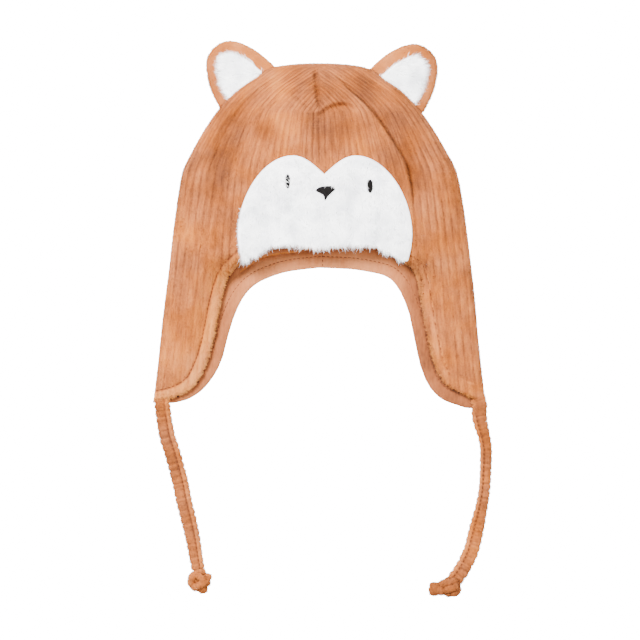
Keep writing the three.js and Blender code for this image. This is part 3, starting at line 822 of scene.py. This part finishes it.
def stitches(name, line, height, material, slot):
    """A row of stitches along a line: one is modelled, and copied to its places."""
    select()
    bpy.ops.mesh.primitive_cylinder_add(vertices=6, radius=1, depth=2, end_fill_type="TRIFAN")
    piece = bpy.context.object
    piece.name = name
    one = np.array([vertex.co for vertex in piece.data.vertices])
    faces = [list(polygon.vertices) for polygon in piece.data.polygons]
    one[:, 2] *= np.where(np.hypot(one[:, 0], one[:, 1]) < 0.5, 1, 0.7)
    points, way = evenly(line, STITCH + STITCH_GAP)
    flat = points[:, None] + way[:, None] * one[None, :, 2:] * STITCH / 2
    flat = flat + turned_left(way)[:, None] * one[None, :, :1] * THREAD / 2
    z = height(points[:, 0], points[:, 1])[:, None] + one[None, :, 1] * THREAD / 2
    z -= 0.25 * THREAD * one[None, :, 2] ** 2
    everything = np.dstack([flat, z]).reshape(-1, 3)
    copies = [[i + k * len(one) for i in face] for k in range(len(points)) for face in faces]
    piece.data.clear_geometry()
    piece.data.from_pydata(everything.tolist(), [], copies)
    place_mesh(piece.data, everything)
    piece.data.shade_smooth()
    dress(piece, material, slot)
    return piece


def lining_top(x, y):
    hem = lining_hem(nearest(BACK_RIM, x, y)[0], x, y)
    return lie(BACK, x, y, LINING_UNDER)[:, 2] - hem + LINING + 0.1


def hem_top(x, y):
    return lie(FRONT, x, y)[:, 2] + velour_hem(nearest(FRONT_RIM, x, y)[0], x, y) + 0.4


left_hem = offset_line(FRONT_RIM, HEM)
right_hem = offset_line(FRONT_RIM, RIGHT_HEM)
right_hem = right_hem[(right_hem[:, 0] > 72) & (below_hem_end(*right_hem.T) < 0)]
tan_thread = cotton_thread("tan_thread", "#5A2C14")
for name, line, height in (
    ("lining_stitches", offset_line(BACK_RIM, LINING_HEM), lining_top),
    ("lining_seam", np.linspace((BACK_SEAM, -154.5), (BACK_SEAM, -110), 60), lining_top),
    ("hem_stitches_left", left_hem[left_hem[:, 0] < -64], hem_top),
    ("hem_stitches_right", right_hem, hem_top),
):
    stitches(name, line, height, tan_thread, "velour")


# Ears
# Two small padded ears, velour behind and as a border in front, sewn into the crown's sides. White plush
# fills each ear inside its border.
EAR_WIDTH = 52
EAR_HEIGHT = 39.5
EAR_LOW = 1.2
EAR_HIGH = 7.7
EAR_DEPTH = 0.071
EAR_SINK = 3
EAR_TILT = 37
EAR_FOOT = 5
EAR_BORDER = 10.0
EAR_PLUSH_HIGH = 9.4
# Where the rings of an ear and of its plush are centred, up from the base
EAR_MIDDLE = 14
EAR_PLUSH_MIDDLE = 11
# How far each ear sits from its even place
EAR_SHIFT = {"left": (3.3, 2.6), "right": (1.1, 0.2)}
# Shares of half the width and of the height, up one side
EAR_OUTLINE = [(1, 0), (0.95, 0.22), (0.86, 0.45), (0.74, 0.63), (0.59, 0.8), (0.37, 0.94), (0.12, 1)]


def closed_outline(points, count):
    """So many points, evenly spaced round a closed outline."""
    loop = np.vstack([points, points[:1]])
    return points_at(loop, np.arange(count) * along_line(loop)[-1] / count)


def padded_form(name, outline, centre, rings, low, high, roll):
    """A flat padded shape with a rolled edge: a sheet whose rows close to rings, from the middle below out
    to the edge and back over the top. low and high give its underside and its top at any place."""
    select()
    bpy.ops.mesh.primitive_grid_add(x_subdivisions=len(outline), y_subdivisions=rings, size=2)
    piece = bpy.context.object
    piece.name = name
    mesh = piece.data
    row, column = np.divmod(np.arange(len(mesh.vertices)), len(outline) + 1)
    edge = outline[column % len(outline)]
    flat = centre + (edge - centre) * np.sin(row * math.pi / rings)[:, None]
    inside = np.linalg.norm(edge - flat, axis=1)
    profile = np.sqrt(1 - (1 - np.minimum(1, inside / roll)) ** 2)
    bottom = low(flat[:, 0], flat[:, 1])
    top = high(flat[:, 0], flat[:, 1])
    middle = (bottom + top) / 2
    z = middle + (np.where(row > rings / 2, top, bottom) - middle) * profile
    place_mesh(mesh, np.column_stack([flat, z]))
    merged(piece)
    mesh.shade_smooth()
    return piece


def short_plush(name):
    """Short white polyester plush: matt, fluffy, with faint grey clouds where the pile parts. A glow of its
    own stands in for the light that scatters within white pile."""
    material, tree, place = new_material(name)
    fluff = clouds(tree, place, 700, 2)
    tone = summed(tree, clouds(tree, place, 60, 4, 0.6), (fluff, 0.25))
    colour = coloured(tree, tone, [(0.45, "#DFE0E3"), (0.72, "#FFFFFF")])
    return surface(material, {
        "Base Color": colour, "Roughness": 1, "Specular IOR Level": 0.1, "Sheen Weight": 0.3,
        "Emission Color": colour, "Emission Strength": 1.4, "Normal": bumpy(tree, fluff, 0.4, 0.0006),
    })


plush = short_plush("short_plush")
ear_velour = cotton_velour("ear_velour", 0.56, 0.0)
half_outline = smooth_line([(a * EAR_WIDTH / 2, b * EAR_HEIGHT) for a, b in EAR_OUTLINE], 8)
ear_side = np.vstack([[(EAR_WIDTH / 2 * 0.96, -EAR_FOOT)], half_outline])
plush_side = half_outline + EAR_BORDER * turned_left(running(half_outline))
plush_side = plush_side[plush_side[:, 0] > 0.5]
plush_side = np.vstack([[(plush_side[0, 0] * 0.98, -EAR_FOOT + 1)], plush_side])


def on_top(at, facing):
    return facing[:, 2] > 0.1


def level(z):
    return lambda x, y: np.full(len(x), z)


for side, name in ((-1, "left"), (1, "right")):
    tilt = math.radians(EAR_TILT)
    ear_up = np.array([side * math.sin(tilt), math.cos(tilt)])
    ear_right = np.array([math.cos(tilt), -side * math.sin(tilt)])
    base = np.array([
        side * (half_width(EAR_DEPTH) - EAR_SINK * math.sin(tilt)),
        -EAR_DEPTH * HAT_HEIGHT - EAR_SINK * math.cos(tilt),
    ]) + EAR_SHIFT[name]

    def on_ear(points):
        return base + points[:, :1] * ear_right + points[:, 1:] * ear_up

    whole = np.vstack([ear_side, ear_side[::-1] * [-1, 1]])
    inner = np.vstack([plush_side, plush_side[::-1] * [-1, 1]])
    ear = padded_form(
        f"ear_velour_{name}", on_ear(closed_outline(whole, 128)), base + EAR_MIDDLE * ear_up, 24,
        level(EAR_LOW), level(EAR_HIGH), 3.4,
    )
    dress(ear, ear_velour, "velour", f"ear_{name}")
    fur = padded_form(
        f"ear_plush_{name}", on_ear(closed_outline(inner, 96)), base + EAR_PLUSH_MIDDLE * ear_up, 16,
        level(EAR_HIGH - 0.9), level(EAR_PLUSH_HIGH), 3,
    )
    dress(fur, plush, "plush", f"ear_fur_{name}")
    out_and_up = swaying(12, 60.0, (0.8 * side, 0.1, 0), (0.5, 0.5, 0))
    ear_pile = pile(f"ear_velour_pile_{name}", ear, 14000, 1.15, 0.3, out_and_up, 11 + side)
    dress(ear_pile, ear_velour, "velour")
    fur_pile = pile(
        f"ear_plush_pile_{name}", fur, 3600, 4.4, 0.42, out_and_up, 21 + side, where=on_top, rise=0.4
    )
    dress(fur_pile, plush, "plush")


# Face
# A patch of short white plush on the brow, with two round tops and a notch between them. It is stitched down
# along its tops, and its pile hangs over the front edge of the hat.
FACE_HALF = 65
FACE_RISE = 70
FACE_NOTCH = 14
FACE_SHIFT = 4
# Where its rings are centred, over the brow's edge
FACE_MIDDLE = 26
PLUSH = 2.8
PLUSH_ROLL = 2.6
# Curves from the notch to the lower corner: two handles and an end, in shares of half width and rise
FACE_LOBE = [
    ((0.114, 0.9), (0.227, 1), (0.364, 1)),
    ((0.705, 1), (1, 0.564), (1, 0.16)),
    ((1, 0.03), (0.966, -0.085), (0.932, -0.19)),
]
BROW_EDGE = -FRONT_EDGE_LEFT[0][1] * HAT_HEIGHT


def bezier(p0, p1, p2, p3, steps=16):
    t = np.linspace(0, 1, steps, endpoint=False)[:, None]
    return (1 - t) ** 3 * p0 + 3 * (1 - t) ** 2 * t * p1 + 3 * (1 - t) * t**2 * p2 + t**3 * p3


def face_lobe(side):
    def place(share):
        return np.array([FACE_SHIFT + side * share[0] * FACE_HALF, BROW_EDGE + share[1] * FACE_RISE])

    start = place((0, 1 - FACE_NOTCH / FACE_RISE))
    parts = []
    for handle, into, end in FACE_LOBE:
        parts.append(bezier(start, place(handle), place(into), place(end)))
        start = place(end)
    return np.vstack([*parts, [start]])


def front_rim_at(x):
    return np.interp(x, FRONT_RIM[:, 0], FRONT_RIM[:, 1])


def above_rim(lobe):
    """A lobe down to where it meets the front edge."""
    stays = lobe[:, 1] > front_rim_at(lobe[:, 0]) + 0.6
    return lobe[: np.argmin(stays) if not stays.all() else len(lobe)]


right_lobe = above_rim(face_lobe(1))
left_lobe = above_rim(face_lobe(-1))
under_x = np.linspace(right_lobe[-1, 0], left_lobe[-1, 0], 60)[1:-1]
under_lift = 0.2 + 0.8 * (1 - smooth(np.abs(under_x), 32, 52))
under_edge = np.column_stack([under_x, front_rim_at(under_x) + under_lift])
face_outline = closed_outline(np.vstack([right_lobe, under_edge, left_lobe[:0:-1]]), 288)[::-1]
face_centre = np.array([FACE_SHIFT, BROW_EDGE + FACE_MIDDLE])


def face_low(x, y):
    return lie(FRONT, x, y)[:, 2] + 0.15


def face_high(x, y):
    return lie(FRONT, x, y)[:, 2] + PLUSH + 0.35 * ripple(x, y, 9, 70.0)


face = padded_form("face_plush", face_outline, face_centre, 48, face_low, face_high, PLUSH_ROLL)
dress(face, plush, "plush", "face_patch")


# The embroidery on the face: solid, place across, rise over the brow's edge, width, height, and how much of
# the pile round it is cut away
EMBROIDERY = [
    ("nose", 4.6, 41.6, 14.6, 10.8, 1.25), ("eye_left", -23.4, 51, 3.2, 10.6, 1.4),
    ("eye_right", 37.8, 47.4, 4, 10.2, 1.6),
]


def round_embroidery(at, facing):
    """The pile stands all over the face's top, but not in the embroidery nor along the stitched outline."""
    from_outline = nearest(np.vstack([face_outline, face_outline[:1]]), at[:, 0], at[:, 1])[0]
    stands = (facing[:, 2] > 0.1) & (from_outline > 2.2)
    for _, x, rise, wide, high, cut in EMBROIDERY:
        across = (at[:, 0] - x) / (wide / 2 * cut)
        over = (at[:, 1] - BROW_EDGE - rise - 1) / (high / 2 * cut)
        stands = stands & (across**2 + over**2 > 1)
    return stands


def along_under_edge(at, facing):
    near = at[:, 1] - front_rim_at(at[:, 0]) - 1
    tufts = 0.5 + 0.5 * ripple(at[:, 0], at[:, 1], 1.6, 88.0)
    return (near < 2.2) * (facing[:, 2] > -0.5) * (at[:, 0] < 62) * np.clip(tufts, 0.1, 1) ** 2


def at_left_edge(at, facing):
    return (at[:, 0] < -54) & (np.abs(at[:, 1] + 132) < 22) & (facing[:, 2] > -0.3)


def in_clumps(at, facing):
    near = at[:, 1] - front_rim_at(at[:, 0]) - 1
    clumps = ripple(at[:, 0], at[:, 1], 2.4, 91.0) + 0.5 * (at[:, 0] < -46)
    return (near < 1.6) * (facing[:, 2] > -0.5) * (at[:, 0] < 60) * np.clip(clumps, 0, 1)


def over_left_eye(at, facing):
    return (np.abs(at[:, 0] + 25) < 3) & (np.abs(at[:, 1] - BROW_EDGE - 49) < 4) & (facing[:, 2] > 0)


face_brushed = swaying(14, 80.0, (0, -0.75, 0), (0.8, 0.3, 0))
hanging = swaying(4, 90.0, (0, -1.2, -0.2), (1.4, 0, 0))
to_left = swaying(5, 95.0, (-1, -0.3, 0), (0, 0.8, 0))
over_to_right = swaying(3, 99.0, (0.9, -0.4, 0), (0, 0.9, 0))
for name, count, length, width, lean, where, rise in (
    ("face_plush_pile", 30000, 2.6, 0.26, face_brushed, round_embroidery, 0.5),
    ("face_fringe", 2600, 2.6, 0.3, hanging, along_under_edge, 0.3),
    ("face_fringe_clumps", 620, 4.6, 0.34, hanging, in_clumps, 0.2),
    ("face_side_tufts", 600, 1.9, 0.28, to_left, at_left_edge, 0.3),
    ("face_eye_tuft", 22, 4, 0.34, over_to_right, over_left_eye, 0.8),
):
    dress(pile(name, face, count, length, width, lean, 31, where=where, rise=rise), plush, "plush")


# Nose and eyes
# Black satin-stitch embroidery on the plush. Long pile has fallen over the left eye and hides most of it.
NOSE_SHAPE = [
    (-1, 0.38), (-0.75, 0.15), (-0.17, -0.25), (-0.03, -1), (0.32, -0.34), (0.75, 0.22), (1, 0.6), (0.64, 1),
    (-0.4, 0.92), (-0.8, 0.65), (-1, 0.38),
]
STITCHED_HIGH = 0.9
black_thread = cotton_thread("black_thread", "#0E0B0B")


def upright(root):
    return 0 * root


around = np.linspace(0, 2 * math.pi, 40, endpoint=False)
oval = np.column_stack([np.cos(around), np.sin(around) * (1 - 0.1 * np.sin(around))])
for node, x, rise, wide, high, _ in EMBROIDERY:
    outline = smooth_line(NOSE_SHAPE, 4)[:-1] if node == "nose" else oval
    middle = np.array([x, BROW_EDGE + rise])
    thread = padded_form(
        f"{node}_embroidery", middle + closed_outline(outline * [wide / 2, high / 2], 48), middle, 10,
        lambda x, y: face_high(x, y) - 0.6, lambda x, y: face_high(x, y) + STITCHED_HIGH, 0.9,
    )
    dress(thread, black_thread, "thread", node)
    ends = pile(f"{node}_threads", thread, 500, 1.2, 0.3, upright, 41, rise=0.3, stray=0.5)
    dress(ends, black_thread, "thread")


# Ties
# A strip of the velour folded in three and stitched along, sewn to the tip of each flap, with its ribs
# across it. Each ends in a tight overhand knot and a short tail.
TIE_THICK = 5.4
TIE_PLACE = 0.943
TIE_RIB = 5.2
# Faces round a tie
TIE_SIDES = 28
FLOOR_GAP = 0.05
TIE_ROUTES = {
    "left": [
        (0, 0), (0.7, -8.5), (2, -17), (3.7, -25.5), (6.4, -34), (8.9, -42.5), (11.2, -51), (13.4, -59.5),
        (15.1, -68), (16.9, -76.5), (19, -85), (21.1, -93.5), (22.9, -102), (24.4, -110.5), (25.8, -119),
        (27.3, -127),
    ],
    "right": [
        (2.3, 0), (2.6, -8.5), (4.3, -17), (6.6, -25.5), (7.9, -34), (8, -42.5), (7.6, -51), (7.3, -59.5),
        (6.4, -68), (5, -76.5), (3.2, -85), (1.2, -93.5), (-0.8, -102), (-2.9, -110.5), (-6.4, -119),
        (-10.8, -127), (-15.4, -133.5), (-18.5, -138),
    ],
}
# Widths along each tie, which turns a little on its side
TIE_WIDTHS = {
    "left": [(0, 11.6), (50, 12.4), (95, 12), (125, 10.4), (140, 9.4)],
    "right": [(0, 11.8), (15, 11.4), (35, 9.2), (70, 8.8), (88, 9.8), (105, 11.6), (145, 12)],
}
# Where the stitching runs, as a share of the width from the middle, positive towards the picture's left
TIE_SEAM = {"left": -0.15, "right": 0.2}
# How much paler the narrow side of the seam is
SEAM_PALER = 0.7
# Middle of each knot, the width of its tail, and the strands that show: loops drawn tight, then the tail
KNOTS = {
    "left": ((28.4, -133.7), 7, [
        [(-5.5, -4.5, 3.5), (-6.4, -0.5, 6), (-4, 3.6, 7.4), (0.5, 5.4, 6.5), (3.5, 5.6, 4)],
        [(6.2, 3.8, 4.4), (5.6, 0.6, 7.2), (2, -2.5, 9), (-2.5, -5, 7), (-5, -5.6, 4)],
        [(-3.5, 4.6, 4), (0, 2.5, 8.8), (4, -1, 8), (6, -3.6, 4.5)],
        [(1, -5.6, 4), (-3.5, -5.4, 4.6), (-6.2, -3, 4.2)],
        [(-5.5, 1, 4), (-2, 0, 6), (2, -1, 6), (5, -2, 4)],
        [(0, -2, 6), (1.8, -5.5, 6), (2.6, -8.3, 4.8), (2.9, -10, 3.9)],
    ]),
    "right": ((-19.8, -139.4), 10.2, [
        [(5.5, 3.5, 3.6), (2, 4.2, 6.8), (-3, 3.6, 8), (-5.8, 1.2, 6), (-5.8, -2, 3.6)],
        [(6, 0, 3.8), (5, -3.4, 6.5), (1, -4, 6.5), (-3, -4.4, 4)],
        [(6, 2, 4), (3.5, 0, 8.4), (0, -1, 9), (-3.5, -2, 6.5), (-5, -4, 3.8)],
        [(-3, -0.5, 6), (-8, -1.2, 5.8), (-12, -1.4, 5.2), (-15.6, -1.2, 4.9)],
    ]),
}
STRAND = 6.0
# The tie's top is sewn in between the two layers of the flap, and comes down to the floor over this length
TIE_SEWN = 5
TIE_RAISE = 3.2
TIE_FALL = 10


def strip(name, route, widths, thick, seam=None, start=0.0):
    """A tube along a route, wide and flat like a folded strip, with ribs across it and a stitched line along
    it. widths has (place, width) rows."""
    long = along_line(route)[-1]
    rows = max(12, int(long / 0.75))
    at = np.linspace(0, long, rows + 1)
    line = points_at(route, at)
    way = running(line)
    side = unit(np.cross(way, [0, 0, 1.0]))
    up = np.cross(side, way)
    select()
    bpy.ops.mesh.primitive_grid_add(x_subdivisions=TIE_SIDES, y_subdivisions=rows, size=2)
    piece = bpy.context.object
    piece.name = name
    mesh = piece.data
    index = np.arange(len(mesh.vertices))
    turn = (index % (TIE_SIDES + 1)) * 2 * math.pi / TIE_SIDES
    row = index // (TIE_SIDES + 1)
    from_end = np.minimum(at, long - at)[row]
    end = np.sqrt(np.clip(1 - (1 - np.minimum(1, from_end / 1.6)) ** 2, 0, 1))
    rib = (at / TIE_RIB + start)[row]
    crest = 1 - np.abs(2 * (rib % 1) - 1) ** 3
    swell = end * (1 - 0.15 * (1 - crest))
    wide = curve(widths)(at)[row]
    across = np.sign(np.cos(turn)) * np.abs(np.cos(turn)) ** 0.8 * wide / 2
    over = np.sign(np.sin(turn)) * np.abs(np.sin(turn)) ** 0.8 * thick / 2
    pressed = np.zeros(len(across))
    if seam is not None:
        # Painted shade darkens the pressed seam; the narrow side beyond it is paler
        pressed = np.exp(-(((across - seam * wide) / 0.7) ** 2)) * (over > 0)
        beyond = smooth((across - seam * wide) * np.sign(seam), 0.3, 1)
        mark(mesh, "brushed_and_shaded", SEAM_PALER * beyond - 1.1 * pressed)
    over = over - 0.9 * pressed
    points = line[row] + side[row] * (across * swell)[:, None] + up[row] * (over * swell)[:, None]
    points[:, 2] = np.maximum(points[:, 2], FLOOR_GAP)
    place_mesh(mesh, points)
    map_cloth(mesh, rib, across)
    merged(piece)
    mesh.flip_normals()
    mesh.shade_smooth()
    return piece


tie_velour = cotton_velour("tie_velour", 0.45, 0.14)
TIE_TOP = -0.995 * HAT_HEIGHT
for side, name in ((-1, "left"), (1, "right")):
    origin = np.array([side * TIE_PLACE * TIP_SPREAD / 2, TIE_TOP])
    route = smooth_line([(0, TIE_SEWN), *TIE_ROUTES[name]], 6)
    height = TIE_THICK / 2 + FLOOR_GAP + TIE_RAISE * (1 - smooth(-route[:, 1], -1, TIE_FALL))
    route = np.column_stack([route + origin, height])
    tie = strip(f"tie_velour_{name}", route, TIE_WIDTHS[name], TIE_THICK, TIE_SEAM[name])
    dress(tie, tie_velour, "velour", f"tie_{name}")
    middle, tail_width, strands = KNOTS[name]
    loops = []
    for i, strand in enumerate(strands):
        wide = tail_width if i == len(strands) - 1 else STRAND
        strand_line = smooth_line(strand, 8) + [*(origin + middle), 0]
        widths = [(0, wide), (30, wide)]
        loops.append(strip(f"knot_strand_{name}_{i}", strand_line, widths, STRAND, start=0.3 * i))
    knot = joined(f"knot_velour_{name}", loops)
    dress(knot, tie_velour, "velour", f"knot_{name}")
    flat = route[:, :2]
    to_seam = TIE_SEAM[name] * curve(TIE_WIDTHS[name])(-flat[:, 1] + TIE_TOP)[:, None]
    seam = flat - turned_left(running(flat)) * to_seam
    top = TIE_THICK + FLOOR_GAP + 0.1
    fuzz = [stitches(f"tie_stitches_{name}", seam[12:], level(top), tan_thread, "velour")]

    def off_seam(at, facing):
        return (nearest(seam, at[:, 0], at[:, 1])[0] > 0.9) | (facing[:, 2] < 0)

    for strand, count in ((tie, 16000), (knot, 8000)):
        nap = pile(
            f"{strand.name}_pile", strand, count, 1.0, 0.28, upright, 51 + side, where=off_seam, rise=0.9
        )
        dress(nap, tie_velour, "velour")
        fuzz.append(nap)


# Stage
# A white light table, soft studio light from the upper left, and the camera that looks straight down.
PIXEL = 0.76
PICTURE = 640
LENS = 200
SENSOR = 36
AIM = Vector((PIXEL * MM, (CROWN_TOP - 194.5) * MM, 0))
bpy.ops.mesh.primitive_plane_add(size=6)
floor = bpy.context.object
floor.name = "floor"
table, tree, _ = new_material("white_light_table")
seen = add(tree, "LightPath").outputs["Is Camera Ray"]
floor.data.materials.append(surface(table, {
    "Base Color": linear("#FAFAFA"), "Roughness": 0.9, "Emission Color": linear("#FFFFFF"),
    "Emission Strength": summed(tree, 3, (seen, 15)),
}))

camera_data = bpy.data.cameras.new("camera")
camera_data.lens = LENS
camera_data.sensor_width = SENSOR
camera_data.clip_end = 20
camera = bpy.data.objects.new("camera", camera_data)
camera.location = AIM + Vector((0, 0, PICTURE * PIXEL * MM * LENS / SENSOR))
bpy.context.scene.collection.objects.link(camera)
bpy.context.scene.camera = camera

for name, place, size, power in (
    ("key", (-0.8, 0.7, 1.8), 0.7, 145), ("fill", (1.1, -0.5, 1.7), 1.6, 36),
):
    data = bpy.data.lights.new(name, "AREA")
    data.shape = "DISK"
    data.size = size
    data.energy = power
    light = bpy.data.objects.new(name, data)
    light.location = place
    light.rotation_euler = (-Vector(place)).to_track_quat("-Z", "Y").to_euler()
    bpy.context.scene.collection.objects.link(light)
world = bpy.data.worlds.new("studio")
world.use_nodes = True
world.node_tree.nodes["Background"].inputs["Color"].default_value = (1, 1, 1, 1)
world.node_tree.nodes["Background"].inputs["Strength"].default_value = 0.9
bpy.context.scene.world = world
